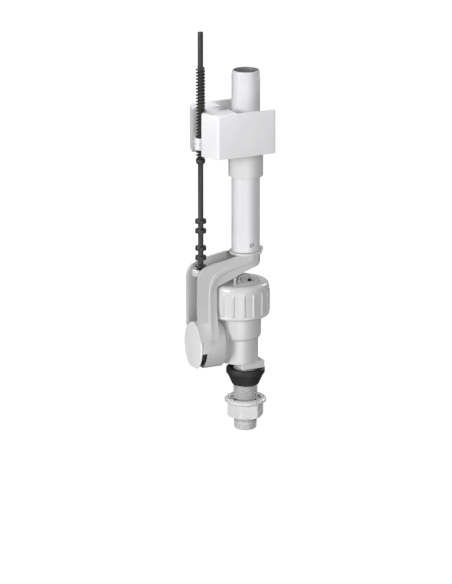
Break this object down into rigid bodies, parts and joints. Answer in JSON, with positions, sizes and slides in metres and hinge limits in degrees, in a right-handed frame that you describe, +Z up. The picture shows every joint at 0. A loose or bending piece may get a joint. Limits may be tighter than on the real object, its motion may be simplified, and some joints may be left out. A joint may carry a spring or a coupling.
{
  "type": "toilet fill valve",
  "caption": "Bottom-entry toilet fill valve: threaded inlet with flange nut, side outlet, ribbed union ring, guide tube, and a float on a threaded rod that works a lever.",
  "frame": {"origin": "on the axis of the inlet shank, at the underside of the cistern floor, which is the flange nut's clamping face", "axes": "+Z up along the shank and the guide tube; -X towards the float rod; the lever swings in the XZ plane"},
  "size_m": [0.0709, 0.0536, 0.3519],
  "materials": {
    "white_plastic": "satin moulded plastic",
    "tube_plastic": "satin extruded plastic",
    "float_plastic": "satin moulded plastic",
    "grey_plastic": "satin moulded plastic",
    "black_plastic": "satin moulded plastic",
    "orange_plastic": "satin moulded plastic",
    "blue_plastic": "satin moulded plastic",
    "black_rubber": "matte moulded rubber",
    "steel": "drawn wire"
  },
  "bodies": {
    "frame": {"valve_body": "white_plastic", "inlet_filter": "grey_plastic", "flow_restrictor": "orange_plastic", "cone_seal": "black_rubber", "bracket_housing": "white_plastic", "outlet_end_cap": "white_plastic", "outlet_baffle": "grey_plastic", "port_seal": "black_rubber", "guide_tube": "tube_plastic", "valve_head": "white_plastic", "clamp_washer": "grey_plastic", "diaphragm": "black_rubber", "metering_pin": "steel", "lever_pin": "white_plastic"},
    "nut": {"flange_nut": "white_plastic"},
    "union": {"union_ring": "white_plastic"},
    "core": {"diaphragm_core": "blue_plastic"},
    "lever": {"lever_arm": "white_plastic", "pilot_seal": "black_rubber"},
    "rod": {"float_rod": "black_plastic"},
    "float": {"float_box": "float_plastic", "float_sleeve": "float_plastic"},
    "adjuster": {"adjuster_nut": "float_plastic"}
  },
  "joints": [
    {"name": "lever_swing", "type": "hinge", "parent": "frame", "child": "lever", "pos_m": [-0.0067, 0, 0.1074], "axis": [0, 1, 0], "range_deg": [-5, 8]},
    {"name": "rod_slide", "type": "slide", "parent": "frame", "child": "rod", "axis": [0, 0, 1], "range_m": [-0.0032, 0.0051]},
    {"name": "core_slide", "type": "slide", "parent": "frame", "child": "core", "axis": [0, 0, 1], "range_m": [-0.0013, 0.0008]},
    {"name": "float_height", "type": "slide", "parent": "rod", "child": "float", "axis": [0, 0, 1], "range_m": [-0.008, 0.04]},
    {"name": "adjuster_turn", "type": "hinge", "parent": "float", "child": "adjuster", "pos_m": [-0.0426, 0, 0.2283], "axis": [0, 0, 1], "range_deg": [-1055, 5250]},
    {"name": "union_turn", "type": "hinge", "parent": "frame", "child": "union", "pos_m": [-0.0067, 0, 0.09], "axis": [0, 0, 1], "continuous": true},
    {"name": "nut_turn", "type": "hinge", "parent": "frame", "child": "nut", "pos_m": [0, 0, -0.008], "axis": [0, 0, 1], "continuous": true}
  ],
  "couplings": [
    {"joint": "rod_slide", "follows": "lever_swing", "m_per_rad": 0.0359},
    {"joint": "core_slide", "follows": "lever_swing", "m_per_rad": -0.0086},
    {"joint": "adjuster_turn", "follows": "float_height", "rad_per_m": 2284.8}
  ]
}
